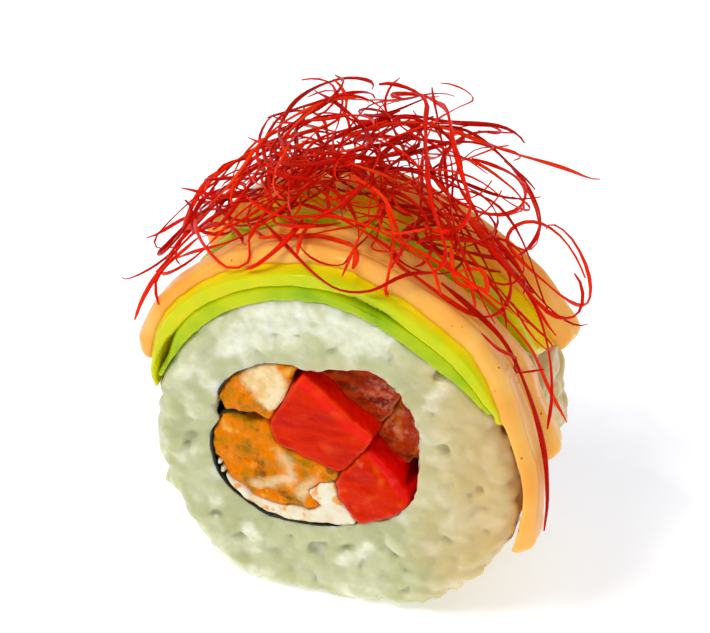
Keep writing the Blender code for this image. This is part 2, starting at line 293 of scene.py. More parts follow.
def add_node(tree, kind, inputs=None, stops=(), to=None, **settings):
    """Adds a node, given by its type without the family's name. An input is a value, a hex colour, or what it
    is linked from. The new node feeds the input called `to` of the tree's last node."""
    families = ("ShaderNode", "GeometryNode", "FunctionNode")
    node = tree.nodes.new(next(family + kind for family in families if hasattr(bpy.types, family + kind)))
    for name, value in settings.items():
        setattr(node, name, value)
    for name, value in (inputs or {}).items():
        if isinstance(value, (bpy.types.Node, bpy.types.NodeSocket)):
            tree.links.new(output_of(value), node.inputs[name])
        else:
            is_hex = isinstance(value, str) and value.startswith("#")
            node.inputs[name].default_value = linear(value) if is_hex else value
    for i, (place, colour) in enumerate(stops):
        elements = node.color_ramp.elements
        element = elements[i] if i < len(elements) else elements.new(place)
        element.position = place
        element.color = linear(colour)
    if to:
        last = tree.nodes.get("Principled BSDF") or tree.nodes["Group Output"]
        tree.links.new(output_of(node), last.inputs[to])
    return node


def features(place, size, detail):
    """The inputs of a noise texture with features of this size in mm."""
    return {"Vector": place, "Scale": 1 / (size * MM), "Detail": detail}


def new_material(name, marks=(), **inputs):
    """A material with a Principled shader set to these values: (material, its function that adds nodes, what
    is given: the place on the piece and these marks of its points)."""
    material = bpy.data.materials.new(name)
    material.use_nodes = True
    add = partial(add_node, material.node_tree)
    for key, value in inputs.items():
        material.node_tree.nodes["Principled BSDF"].inputs[key.replace("_", " ")].default_value = value
    given = {key: add("Attribute", attribute_name=key).outputs["Fac"] for key in marks}
    return material, add, given | {"place": add("TexCoord").outputs["Object"]}


# %% [markdown]
# ## Geometry Nodes
# Grains, crumbs and threads repeat by the hundred, so Geometry Nodes make them. One tree scatters small
# rounded bodies over a surface, and another sweeps a flat profile along paths. Their sizes are named
# inputs, and the result is turned into a plain mesh.


# %% Building and running a tree
def start_tree(name, **sockets):
    """A Geometry Nodes tree with these named inputs: (tree, its function that adds nodes, what is given)."""
    tree = bpy.data.node_groups.new(name, "GeometryNodeTree")
    tree.interface.new_socket("Geometry", in_out="INPUT", socket_type="NodeSocketGeometry")
    for socket, kind in sockets.items():
        tree.interface.new_socket(socket, in_out="INPUT", socket_type="NodeSocket" + kind)
    tree.interface.new_socket("Geometry", in_out="OUTPUT", socket_type="NodeSocketGeometry")
    tree.nodes.new("NodeGroupOutput")
    return tree, partial(add_node, tree), tree.nodes.new("NodeGroupInput").outputs


def finish_tree(add, geometry, given):
    """Turns instances into mesh and gives them their material."""
    realized = add("RealizeInstances", {"Geometry": geometry})
    inputs = {"Geometry": realized, "Material": given["Material"]}
    tree = add("SetMaterial", inputs, to="Geometry").id_data
    print(f"{tree.name} tree: {len(tree.nodes)} nodes")


def run_tree(name, mesh, tree, **values):
    """The plain mesh that the tree makes from this one."""
    made = new_object("source", mesh)
    modifier = made.modifiers.new(tree.name, "NODES")
    modifier.node_group = tree
    for item in tree.interface.items_tree:
        if item.name in values:
            modifier[item.identifier] = values[item.name]
    return baked(made, name)


# %% The scattering tree: balls stretched along, sunk into and tilted off the surface
scatter, add, given = start_tree(
    "Scatter", Spacing="Float", Length="Float", Width="Float", Sink="Float", Tilt="Float", Facets="Int",
    Seed="Int", Material="Material",
)
spots = add(
    "DistributePointsOnFaces",
    {"Mesh": given["Geometry"], "Distance Min": given["Spacing"], "Density Max": 4e6, "Seed": given["Seed"]},
    distribute_method="POISSON",
)
down = add("Math", {0: given["Sink"], 1: -1.0}, operation="MULTIPLY")
inward = add("VectorMath", {0: spots.outputs["Normal"], "Scale": down}, operation="SCALE")
placed = add("SetPosition", {"Geometry": spots, "Offset": inward})
lean = add("Math", {0: given["Tilt"], 1: -1.0}, operation="MULTIPLY")
low_turn = add("CombineXYZ", {0: lean, 1: lean, 2: 0.0})
high_turn = add("CombineXYZ", {0: given["Tilt"], 1: given["Tilt"], 2: math.tau})
turn = add("RandomValue", {0: low_turn, 1: high_turn, "Seed": given["Seed"]}, data_type="FLOAT_VECTOR")
turned = add(
    "RotateRotation", {"Rotation": spots.outputs["Rotation"], "Rotate By": turn}, rotation_space="LOCAL"
)
thick = add("Math", {0: given["Width"], 1: 0.82}, operation="MULTIPLY")
extents = add("CombineXYZ", {0: given["Length"], 1: given["Width"], 2: thick})
vary = add("RandomValue", {0: [0.8] * 3, 1: [1.15] * 3, "Seed": given["Seed"]}, data_type="FLOAT_VECTOR")
scale = add("VectorMath", {0: extents, 1: vary}, operation="MULTIPLY")
rings = add("Math", {0: given["Facets"], 1: 0.6}, operation="MULTIPLY")
ball = add("MeshUVSphere", {"Segments": given["Facets"], "Rings": rings, "Radius": 0.5})
copies = add("InstanceOnPoints", {"Points": placed, "Instance": ball, "Rotation": turned, "Scale": scale})
finish_tree(add, copies, given)

# %% [markdown]
# ## Rice
# Sushi rice is short-grained: a cooked grain is about 5.5 mm long and 2.8 mm wide, translucent and sticky,
# so pressed grains fuse into a soft mass in which each one still shows. Modelling each grain alone would
# leave hard seams, so the grains are scattered over a smaller core, fused with it by a fine remesh and
# smoothed. The knife then flattens them where it cut. More grains stand out of the mass down the sides.


# %% Cooked rice: starch gel, so every grain is moist, smooth and half see-through
cooked_rice, add, given = new_material(
    "Cooked sushi rice", ("grain", "hollow", "warm"), Roughness=0.3, IOR=1.38, Specular_IOR_Level=0.3,
    Subsurface_Weight=0.9, Subsurface_Scale=2.4 * MM, Subsurface_Radius=(1.0, 0.97, 0.5), Coat_Weight=0.35,
    Coat_Roughness=0.12,
)
clouds = add("TexNoise", features(given["place"], 1.5, 3))
# grain is each grain's own tone plus painted light on the top rim, the only part that reaches the last stop
both = add("Mix", {"Factor": 0.5, "A": given["grain"], "B": clouds})
tone = add(
    "ValToRGB", {"Fac": both},
    stops=((0.28, "#b4b684"), (0.45, "#bfc193"), (0.6, "#cacba4"), (0.76, "#dfe0c4"), (0.92, "#f4f6ea")),
)
# Painted shade: grey-green darkening in the hollows between grains
shaded = add("Mix", {"Factor": given["hollow"], "A": tone, "B": "#a2a474"}, data_type="RGBA")
# Painted shade: a warmer, darker yellow on the right side, away from the key light
add("Mix", {"Factor": given["warm"], "A": shaded, "B": "#d2ac6a"}, to="Base Color", data_type="RGBA")
skin = add("TexNoise", features(given["place"], 0.9, 2))
add("Bump", {"Height": skin, "Strength": 0.4, "Distance": 0.2 * MM}, to="Normal")

# %% Where grains can lie: everywhere but on the wall of the hole
GRAIN_LENGTH = 5.0 * MM  # a little under the real size, because the fusing makes each grain look larger
GRAIN_WIDTH = 2.4 * MM
GRAIN_FACETS = 14
rice_surface = surface_of(solid_mesh("rice"))
avocado_surface = surface_of(solid_mesh("avocado_under", "avocado_front", "avocado_rear"))


def outside_of_rice(keep):
    """The solid's outside, without the wall of its hole and the places that keep() turns down."""
    shape = joined(solid_mesh("rice"))
    bmesh.ops.subdivide_edges(shape, edges=shape.edges, cuts=2, use_grid_fill=True)
    doomed = []
    for face in shape.faces:
        middle = face.calc_center_median()
        on_wall = abs(face.normal.y) < 0.5 and nori_surface.find_nearest(middle, 0.8 * MM)[0]
        if on_wall or not keep(middle):
            doomed.append(face)
    bmesh.ops.delete(shape, geom=doomed, context="FACES")
    return plain_mesh(shape)


def on_the_sides(place):
    """Off the cut faces, under the toppings' ends and above the table."""
    angle = around(np.array([place]))[0][0]
    bare = not 20 < angle < 165 and not -125 < angle < -55
    return FRONT + 0.3 * MM < place.y < REAR - 0.3 * MM and bare


def scatter_grains(keep, spacing, sink, tilt, seed):
    return run_tree(
        "grains", outside_of_rice(keep), scatter, Spacing=spacing, Length=GRAIN_LENGTH, Width=GRAIN_WIDTH,
        Sink=sink, Tilt=tilt, Facets=GRAIN_FACETS, Seed=seed, Material=cooked_rice,
    )


layers = [
    scatter_grains(lambda place: True, 2.0 * MM, 0.9 * MM, 0.8, 4),
    scatter_grains(lambda place: True, 2.2 * MM, 1.8 * MM, 0.6, 6),
    scatter_grains(on_the_sides, 4.2 * MM, 0.5 * MM, 0.3, 8),
]
grains_mesh = plain_mesh(joined(*[layer.data for layer in layers]))
grain_surface = surface_of(grains_mesh)
for layer in layers:
    bpy.data.objects.remove(layer)
FACES_PER_GRAIN = GRAIN_FACETS * 8  # with 8 rings round each ball
print("grains to fuse:", len(grains_mesh.polygons) // FACES_PER_GRAIN)

# %% The core, a little smaller than the solid but for the wall of its hole, fused with the grains
core = fine_copy("core", solid_mesh("rice"), 0.6 * MM, 2)
points = points_of(core.data)
from_nori = np.array([nori_surface.find_nearest(Vector(point))[3] for point in points])
inset = 1.4 * MM * ease(from_nori, 0.4 * MM, 2.4 * MM)
move_points(core.data, pushed(points, normals_of(core.data), -inset))
# as fine as the limit of 200,000 triangles for one piece lets it be
RICE_VOXEL = 0.375 * MM  # the size of the even quads that fuse the grains
rice = fine_copy("rice_mass", plain_mesh(joined(core.data, grains_mesh)), RICE_VOXEL, 1, cooked_rice)
bpy.data.objects.remove(core)


# %% What a point of rice can reach: the knife's faces, the toppings and the nori
def wall_distance(surface, middle, angle):
    """How far the surface's outside is from this middle at each angle, in mm."""
    walls = []
    for turn in range(360):
        way = Vector((math.cos(math.radians(turn)), 0, math.sin(math.radians(turn))))
        outer = surface.ray_cast(middle + way * 35 * MM, -way)[0]
        walls.append((outer - middle).length / MM)
    return np.interp(angle % 360, range(361), [*walls, walls[0]])


def cut_flat(points, rim):
    """Fills the points out to the two cut faces and flattens them there. The rim of a face is rounded."""
    stand = 0.4 * MM  # what comes this near to the knife, or past it, is squeezed
    for face, way in ((FRONT, -1), (REAR, 1)):
        over = (points[:, 1] - face) * way
        filled = over * (0.9 + 0.1 * ease(-over, 0.3 * MM, 3.5 * MM))
        over = np.where(over < 0, filled, over)
        pressed = np.where(over > -stand, -stand + (over + stand) * 0.4, over)
        pressed -= 1.1 * MM * rim**2 * ease(over, -3.0 * MM, 0)
        points[:, 1] = face + way * pressed


def rise_to_avocado(points, angle, radius, ways):
    """Raises the rice to the underside of the avocado, where it bulges a little out of the front cut."""
    rise = 1.2
    for i in np.nonzero((angle > 22) & (angle < 172) & (radius > 18))[0]:
        start = Vector((0, min(max(points[i, 1], FRONT + 0.3 * MM), REAR - 0.3 * MM), AXIS))
        distance = avocado_surface.ray_cast(start, Vector(ways[i]), 30 * MM)[3]
        if distance:
            under = distance / MM - 0.02
            raised = radius[i] + rise * ease(radius[i], under - 5, under - rise)
            points[i] += ways[i] * (min(raised, under) - radius[i]) * MM
            if points[i, 1] < FRONT + 2 * MM:
                points[i, 1] -= 0.5 * MM * math.exp(-(((raised - under + rise) / 0.9) ** 2))


def sink_into_solid(points, covered):
    """Draws in what stands too far out of the solid, and returns each point's depth under its skin."""
    sunk = np.zeros(len(points))
    for i, point in enumerate(points):
        hit, normal, _, _ = rice_surface.find_nearest(point, 3 * MM)
        if hit:
            proud = (Vector(point) - hit).dot(normal)
            sunk[i] = -proud
            allowed = 0.55 * MM + 2 * MM * covered[i]
            if proud > allowed and abs(normal.y) < 0.7:
                points[i] -= np.array(normal) * (proud - allowed) * (0.6 + 0.4 * covered[i])
    return sunk


def bare_nori(turn):
    """1 where the rice leaves the nori's edge bare, at the lower left, and 0.9 at the upper left."""
    low = ease(turn % 360, 165, 190) * ease(-(turn % 360), -300, -270)
    high = ease(turn % 360, 95, 110) * ease(-(turn % 360), -165, -155)
    return np.maximum(low, 0.9 * high)


def lap_over_nori(points):
    """Moves the wall of the hole out to the nori, and laps it over the nori's edge at both cuts. Returns the
    points, and 1 for those of the wall."""
    turn, away, ways = around(points, HOLE)
    wall = wall_distance(nori_surface, HOLE, turn)
    bare = bare_nori(turn)
    waver = 0.3 * bumps(points, 1.6, 77) + 0.15 * bumps(points, 0.8, 79)
    lap = 0.45 - 0.33 * bare + waver * (1 - 0.6 * bare)
    inside = np.minimum(points[:, 1] - FRONT, REAR - points[:, 1]) / MM
    lap += (-0.12 - lap) * ease(inside, 0.7, 1.7)
    near = 1 - ease(away - wall, 0.4, 1.8)
    moved = np.maximum(away - (0.35 + lap) * near, wall - lap)
    return pushed(points, ways, (moved - away) * MM), near


# %% Pressing the rice, and the marks for its colour
nearest = [grain_surface.find_nearest(Vector(point))[2] // FACES_PER_GRAIN for point in points_of(rice.data)]
points = points_of(rice.data)
angle, radius, ways = around(points)
covered = ease(angle, 25, 35) * ease(-angle, -170, -163)  # 1 under the avocado
wall = wall_distance(rice_surface, ROLL, angle)
cut_flat(points, ease(radius, wall - 2.2, wall + 0.4) * (1 - covered))
rise_to_avocado(points, angle, radius, ways)
sunk = sink_into_solid(points, covered)
points, near_wall = lap_over_nori(points)
sunk[near_wall > 0.9] = 0.2 * MM
points[:, 2] = np.maximum(points[:, 2], 0.0)

softened = evened(rice.data, points, 1)
rounder = evened(rice.data, softened, 4)
softened += (rounder - softened) * ease(-sunk, 0.1 * MM, 0.5 * MM)[:, None]
move_points(rice.data, points + (softened - points) * (1 - 0.8 * near_wall[:, None]))

angle, radius, _ = around(points)
painted_top_light = ease(radius, 16.0, 19.0) * ease(angle, 48, 75) * ease(-angle, -140, -110)  # painted light on the rice's top rim, under the avocado
own_tone = np.random.default_rng(5).random(9000)[nearest]
mark(
    # each grain's own tone, with painted light added on the top rim
    rice.data, grain=evened(rice.data, own_tone + 0.55 * painted_top_light, 2),
    # painted shade in the hollows between grains
    hollow=evened(rice.data, ease(sunk, 0.5 * MM, 1.7 * MM) * 0.4, 2),
    # painted shade on the right side
    warm=ease(points[:, 0] + 3 * MM * bumps(points, 6, 78), 6 * MM, 20 * MM) * 0.7,
)
serve(rice, "rice", "rice")


# %% [markdown]
# ## Nori
# Nori is a thin, brittle sheet of seaweed that softens against the rice. Only its edge shows, as a dark
# line of uneven width. The solid's own strip has the right place, so a copy of it is cut finer, and noise
# makes its edge thick and thin.

# %% Toasted seaweed: near black with a green tinge, matt where it is moist
seaweed, add, given = new_material("Toasted seaweed", Roughness=0.45, IOR=1.45)
fibres = add("TexNoise", features(given["place"], 0.8, 4))
add(
    "ValToRGB", {"Fac": fibres}, to="Base Color",
    stops=((0.35, "#0c110d"), (0.6, "#1c261a"), (0.75, "#39401f")),
)
add("Bump", {"Height": fibres, "Strength": 0.6, "Distance": 0.08 * MM}, to="Normal")

# %% The sheet
nori = fine_copy("nori_sheet", solid_mesh("nori"), 0.235 * MM, 0, seaweed)
points = points_of(nori.data)
waves = bumps(points * np.array((1, 0.3, 1)), 2.2, 3)
outward = around(points, HOLE)[2]
points = pushed(points, normals_of(nori.data), (0.08 * waves - 0.08) * MM)
points = pushed(points, outward, 0.06 * bumps(points, 3.5, 9) * MM)
covered = 1 - bare_nori(around(points, HOLE)[0])
points[:, 1] *= 1 - 0.012 - 0.05 * covered  # the edge lies deeper where rice laps over it
points[:, 1] += 0.15 * MM * bumps(points, 2.6, 5)
move_points(nori.data, points)
serve(nori, "nori", "nori")

# %% [markdown]
# ## Tomato
# Four bars of tomato run through the roll. Three show cut flesh, wet and finely grained, and the lower one
# bends over to its smooth shiny skin. The two that lie deeper are darker, partly in their own flesh and
# partly by painted shade of their recess, and frosted by the glassy cells round the seeds, which also stand
# for painted glints. Both materials come from one function: attributes say where a bar is pale, from its own
# spots and from painted light at its thin edges, frosted or still in its skin.


# %% Tomato flesh: juicy, saturated red, with a wet film over fine cells
def tomato_material(name, deep, bright, pale, frost, roughness):
    """Flesh from deep to bright, pale where the attribute of that name says so (its own pale spots, and
    painted light at thin edges), under skin where it says so, and with the seed colour, that of the fine
    glassy cells round the seeds, which also stands for painted glints on them. The real cells are 0.2 mm
    across and are drawn 0.5 mm across, so that they show."""
    material, add, given = new_material(
        name, ("skin", "pale", "frost"), Roughness=roughness, IOR=1.36, Specular_IOR_Level=0.2,
        Specular_Tint=linear("#ff3000"), Subsurface_Weight=0.2, Subsurface_Scale=1.2 * MM,
        Subsurface_Radius=(1.0, 0.1, 0.02), Coat_Roughness=0.05,
    )
    skin = given["skin"]
    add("MapRange", {"Value": skin, "From Min": 0.5, "To Min": 0.03, "To Max": 0.6}, to="Coat Weight")
    drawn = add("Mapping", {"Vector": given["place"], "Rotation": (0, 0.7, 0), "Scale": (0.4, 1.0, 1.3)})
    veins = add("TexNoise", features(drawn, 1.6, 6))
    flesh = add("ValToRGB", {"Fac": veins}, stops=((0.36, deep), (0.6, bright), (0.75, bright)))
    peeled = add("Mix", {"Factor": skin, "A": flesh, "B": "#f00800"}, data_type="RGBA")
    grain = add("TexNoise", features(given["place"], 0.9, 4))
    amount = add("Math", {0: given["pale"], 1: grain}, operation="MULTIPLY")
    mixed = add("Mix", {"Factor": amount, "A": peeled, "B": pale}, data_type="RGBA")
    # Specks of the glassy cells round the seeds, which also stand for painted glints on them
    specks = add("TexNoise", features(given["place"], 0.9, 4) | {"Distortion": 0.4})
    sharp = add("MapRange", {"Value": specks, "From Min": 0.5, "From Max": 0.72})
    frosted = add("Math", {0: sharp, 1: given["frost"]}, operation="MULTIPLY")
    add("Mix", {"Factor": frosted, "A": mixed, "B": frost}, to="Base Color", data_type="RGBA")
    cells = add("TexNoise", features(given["place"], 0.5, 3))
    rough = add("MapRange", {"Value": skin, "To Min": 0.45, "To Max": 0.1})
    add("Bump", {"Height": cells, "Strength": rough, "Distance": 0.25 * MM}, to="Normal")
    return material


ripe_flesh = tomato_material("Ripe tomato flesh", "#c01600", "#d62600", "#ff7c1c", "#ff9c70", 0.22)
# The deep bars are darker partly in their own flesh and partly by painted shade of their recess
shaded_deep_flesh = tomato_material("Deep tomato flesh", "#6c0c04", "#b03002", "#e48428", "#cc7c64", 0.15)
TOMATO_VOXEL = 0.25 * MM


def painted_edge_light(mesh):
    """1 on the rounded edge of a cut, where light through the thin flesh is painted as a paler colour."""
    facing = normals_of(mesh)[:, 1]
    return ease(-facing, 0.2, 0.5) * ease(facing, -0.97, -0.8)


# %% The bright bar in the middle
middle, points, normals = food("tomato_middle", "tomato_middle_bar", TOMATO_VOXEL, 4, ripe_flesh)
points[:, 1] += 0.18 * MM * bumps(points, 3.5, 2)
points = pushed(points, normals, 0.06 * MM * bumps(points, 1.0, 4))
past_edge = beside_line(points, (-3.6, 12.9), (5.2, 5.4)) - 0.3 * MM * bumps(points, 2, 12)
spots = ease(bumps(points, 2.5, 6), 0.3, 0.7)
mark(
    middle.data, skin=0.6 * ease(past_edge, -2.2 * MM, -1.2 * MM),
    # pale: painted light at the thin edges, and the flesh's own paler spots
    pale=0.2 * painted_edge_light(middle.data) + 0.3 * spots, frost=np.zeros(len(points)),
)
move_points(middle.data, wavered(points))
serve(middle, "tomato", "tomato_middle")

# %% The lower bar: beyond its ridge the skin falls away from the cut
lower, points, _ = food("tomato_lower", "tomato_lower_bar", TOMATO_VOXEL, 2, ripe_flesh, to_nori=1.5 * MM)
past_ridge = beside_line(points, (4.2, 3.0), (10.3, -5.2))
fall = 1.7 * (np.sqrt(past_ridge**2 + (0.45 * MM) ** 2) + past_ridge) / 2  # rounded by 0.45 mm at the ridge
points[:, 1] += fall * ease(FRONT - points[:, 1], -4 * MM, 0)
cut_face = 1 - ease(past_ridge, -0.3 * MM, 0.0)
points[:, 1] += (0.2 * bumps(points, 2.2, 8) + 0.08 * bumps(points, 0.9, 7)) * MM * cut_face
move_points(lower.data, wavered(points))
spots = ease(bumps(points, 1.3, 3), 0.1, 0.6)
mark(
    # pale: painted light at the thin edges, and the flesh's own paler spots
    lower.data, skin=1 - cut_face, pale=cut_face * (0.5 * spots + 0.2 * painted_edge_light(lower.data)),
    # the seed cells' own pale colour, which also stands for painted glints
    frost=cut_face * ease(bumps(points, 3, 5), 0.0, 0.5) * 0.35,
)
serve(lower, "tomato", "tomato_lower")

# %% The two deep bars
for node, seed in (("tomato_upper", 11), ("tomato_right", 15)):
    bar, points, _ = food(node, node + "_bar", TOMATO_VOXEL, 4, shaded_deep_flesh, to_nori=1.5 * MM)
    points[:, 1] += 0.5 * MM * bumps(points, 2.6, seed) + 0.2 * MM * bumps(points, 1.1, seed + 1)
    move_points(bar.data, wavered(points))
    low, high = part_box(node)
    from_seeds = np.hypot(points[:, 0] - high.x + 3 * MM, points[:, 2] - (low.z + high.z) / 2)
    spots = ease(bumps(points, 1.7, seed + 2), 0.3, 0.7)
    mark(
        # pale: painted light at the thin edges, and the flesh's own paler spots
        bar.data, skin=np.zeros(len(points)), pale=0.05 + 0.8 * painted_edge_light(bar.data) + 0.7 * spots,
        # the seed cells' own pale colour, which also stands for painted glints
        frost=0.75 * (1 - ease(from_seeds, 1 * MM, 4 * MM)) + 0.1,
    )
    serve(bar, "tomato", node)

# %% [markdown]
# ## Breaded fillet
# The fillet was rolled in crumbs and fried, then cut with the roll. Its cut shows cream flesh in a thick
# orange crust with brown specks. The relief is made from three sizes of noise, and loose crumbs of the
# crust are scattered over the cut.

# %% Fried crust: dry, rough and orange, browned in patches, with cream flesh where it is torn
crust, add, given = new_material(
    "Fried crumb crust", ("pale",), Roughness=0.45, IOR=1.45, Specular_IOR_Level=0.2,
    Specular_Tint=linear("#ffb040"), Subsurface_Weight=0.15, Subsurface_Scale=1.0 * MM,
    Subsurface_Radius=(1.0, 0.4, 0.05),
)
mottle = add("TexNoise", features(given["place"], 2.4, 4) | {"Roughness": 0.6, "Distortion": 0.2})
orange = add(
    "ValToRGB", {"Fac": mottle},
    stops=((0.34, "#a26c0a"), (0.43, "#c47c08"), (0.5, "#de7800"), (0.6, "#e88200"), (0.7, "#e4ac4c")),
)
burnt = add("TexNoise", features(given["place"], 1.8, 4))
browned = add("MapRange", {"Value": burnt, "From Min": 0.57, "From Max": 0.68, "To Max": 0.75})
speckled = add("Mix", {"Factor": browned, "A": orange, "B": "#623a10"}, data_type="RGBA")
streaks = add("TexNoise", features(given["place"], 1.4, 4))
flesh = add("ValToRGB", {"Fac": streaks}, stops=((0.35, "#e8bf78"), (0.6, "#f3dcae")))
add("Mix", {"Factor": given["pale"], "A": speckled, "B": flesh}, to="Base Color", data_type="RGBA")
grit = add("TexNoise", features(given["place"], 0.5, 5))
add("Bump", {"Height": grit, "Strength": 0.7, "Distance": 0.2 * MM}, to="Normal")

# %% The two pieces
FLESH_STREAKS = {  # from one place to another on the cut, in mm from the roll's axis, and half the width
    "fillet_upper": ((-8.6, 10.9, -7.0, 8.6, 2.3),),
    "fillet_lower": (
        (-9.6, -5.4, -5.0, -3.6, 0.55), (-5.0, -3.6, -6.0, -0.6, 0.6), (-2.6, -3.4, -4.0, -5.6, 0.5),
    ),
}


def torn_flesh(points, streaks, seed):
    """1 where the crust is torn and the flesh shows."""
    pale = np.zeros(len(points))
    place = np.stack((points[:, 0], points[:, 2] - AXIS), axis=1) / MM
    for u0, w0, u1, w1, size in streaks:
        start, way = np.array((u0, w0)), np.array((u1 - u0, w1 - w0))
        share = np.clip((place - start) @ way / (way @ way), 0, 1)
        apart = np.linalg.norm(place - start - share[:, None] * way, axis=1)
        apart += 0.6 * bumps(points, 1.6, seed)
        pale = np.maximum(pale, (0.7 if size < 1 else 1) * (1 - ease(apart, size - 0.5, size + 0.7)))
    return pale


def rough_fillet(node, seed):
    piece, points, normals = food(node, node + "_piece", 0.22 * MM, 4, crust, to_nori=3.0 * MM)
    pale = torn_flesh(points, FLESH_STREAKS[node], seed + 5)
    relief = 0.45 * bumps(points, 2.4, seed) + 0.3 * bumps(points, 1.1, seed + 1)
    relief += 0.14 * bumps(points, 0.5, seed + 2)
    relief *= (1 - 0.7 * pale) * MM
    near_front = ease(FRONT - points[:, 1], -3 * MM, -0.5 * MM)
    near_rear = ease(points[:, 1] - REAR, -3 * MM, -0.5 * MM)
    points[:, 1] += relief * (near_rear - near_front)
    points = pushed(points, normals, 0.1 * relief)
    move_points(piece.data, wavered(points))
    mark(piece.data, pale=pale)
    return serve(piece, "fillet", node)


fillets = [rough_fillet("fillet_upper", 21), rough_fillet("fillet_lower", 31)]

# %% [markdown]
# ## Cream cheese
# A spoonful of cream cheese was spread on the nori and squeezed out along it. It is smooth, white and
# slightly glossy, with small ridges where the knife dragged it, and oil from the crust stains it orange.

# %% Cream cheese: dense, white and moist, so light spreads in it and its hollows stay pale
curd, add, given = new_material(
    "Cream cheese", Roughness=0.35, IOR=1.4, Subsurface_Weight=0.3, Subsurface_Scale=0.7 * MM,
    Subsurface_Radius=(1.0, 0.9, 0.75), Coat_Weight=0.2, Coat_Roughness=0.25,
)
smears = add("TexNoise", features(given["place"], 2, 5))
tone = add("ValToRGB", {"Fac": smears}, stops=((0.3, "#dec894"), (0.5, "#e8dec0"), (0.7, "#eee6d0")))
oil = add("TexNoise", features(given["place"], 1.5, 2))
stain = add("MapRange", {"Value": oil, "From Min": 0.55, "From Max": 0.63, "To Max": 0.85})
add("Mix", {"Factor": stain, "A": tone, "B": "#e8940c"}, to="Base Color", data_type="RGBA")
add("Bump", {"Height": smears, "Strength": 0.4, "Distance": 0.15 * MM}, to="Normal")

# %% The layer
cheese, points, _ = food("cream_cheese", "cheese_layer", 0.22 * MM, 4, curd, to_nori=1.5 * MM)
points[:, 1] += MM * (0.3 * bumps(points, 1.8, 41) + 0.15 * bumps(points, 0.8, 42))
move_points(cheese.data, wavered(points))
serve(cheese, "cheese", "cream_cheese")


# %% Crumbs that came off the crust
def cut_faces(objects, keep):
    """One mesh of the faces that look out of the front cut, where keep() agrees."""
    shape = joined(*[made.data for made in objects])
    others = [face for face in shape.faces if face.normal.y > -0.6 or not keep(face.calc_center_median())]
    bmesh.ops.delete(shape, geom=others, context="FACES")
    return plain_mesh(shape)


def in_clusters(place):
    return noise.noise(place / (1.1 * MM)) > 0.28


crumbs = run_tree(
    "crust_crumbs", cut_faces(fillets, in_clusters), scatter, Spacing=0.55 * MM, Length=0.9 * MM,
    Width=0.6 * MM, Sink=0.2 * MM, Tilt=0.9, Facets=7, Seed=9, Material=crust,
)
mark(crumbs.data, pale=ease(bumps(points_of(crumbs.data), 1.0, 44), 0.3, 0.5))
serve(crumbs, "fillet")

# %% [markdown]
# ## Avocado
# Ripe avocado is cut into thin slices that lap over each other like shingles. The flesh is green next to
# the peel and yellow towards the stone, and that runs across each slice from front to back. A fine copy of
# each solid keeps the drape, and an attribute carries the change of colour.

# %% Avocado flesh: buttery and waxy, green at the peel side and yellow inside, with a faint grain
avocado_flesh, add, given = new_material(
    "Ripe avocado flesh", ("green",), Roughness=0.25, IOR=1.42, Specular_IOR_Level=0.2,
    Specular_Tint=linear("#f0ff40"), Subsurface_Weight=0.3, Subsurface_Scale=1.6 * MM,
    Subsurface_Radius=(0.7, 1.0, 0.05), Coat_Weight=0.3, Coat_Roughness=0.08,
)
cloud = add("TexNoise", features(given["place"], 4, 3))
drift = add("Math", {0: cloud, 1: 0.5, 2: -0.25}, operation="MULTIPLY_ADD")
place = add("Math", {0: given["green"], 1: drift}, operation="ADD")
add(
    "ValToRGB", {"Fac": place}, to="Base Color",
    stops=((0.0, "#f8cc10"), (0.3, "#ecd400"), (0.6, "#c6ce00"), (0.85, "#9aba00"), (1.0, "#5f9000")),
)
# The real fibres are about 0.3 mm apart and are drawn 0.9 mm apart, so that they show.
drawn = add("Mapping", {"Vector": given["place"], "Scale": (0.35, 1.6, 0.35)})
grain = add("TexNoise", features(drawn, 0.9, 4))
add("Bump", {"Height": grain, "Strength": 0.6, "Distance": 0.15 * MM}, to="Normal")

# %% Where the lowest slice and the one over it part a little: angle, and half the width of the gap
PARTINGS = ((80, 9), (151, 7))


# %% The three slices
def drape_slice(node, seed, greens, parting=0.0):
    """greens lists (depth in mm, how green the flesh is there). At the partings the slice moves outwards this
    far, in mm, on its upper side, or inwards on its lower side where parting is below 0."""
    piece, points, normals = food(node, node + "_slice", 0.25 * MM, 3, avocado_flesh, share=0.8)
    points = pushed(points, normals, 0.12 * MM * bumps(points, 5, seed))
    angle, _, outward = around(points)
    depth = (points[:, 1] - FRONT) / MM
    parted = sum(np.exp(-(((angle - middle) / width) ** 2)) for middle, width in PARTINGS)
    parted *= ease(-depth, -4, 0) * ease(-np.sign(parting) * (normals * outward).sum(axis=1), -0.1, 0.5)
    points = pushed(points, outward, parting * MM * parted)
    shade = np.interp(depth, *zip(*greens)) + 0.12 * bumps(points, 7, seed + 1)
    move_points(piece.data, points)
    mark(piece.data, green=shade)
    serve(piece, "avocado", node)


drape_slice("avocado_under", 51, ((0, 0.78), (2, 0.6), (6, 0.3)), parting=-0.45)
drape_slice("avocado_front", 55, ((0, 0.58), (1, 0.4), (3, 0.12), (12.4, 0.15), (13.5, 0.5)), parting=0.7)
drape_slice("avocado_rear", 59, ((12, 0.75), (13, 0.6), (15, 0.2), (23, 0.15), (24, 0.6)))

# %% [markdown]
# ## Sauce
# Spiced mayonnaise is squeezed on in ribbons that settle, run together and creep down the side. It is
# smooth and glossy, so the shape does the work: the ribbons are softened, pressed onto the avocado, and
# their edges and height vary slowly along the way.

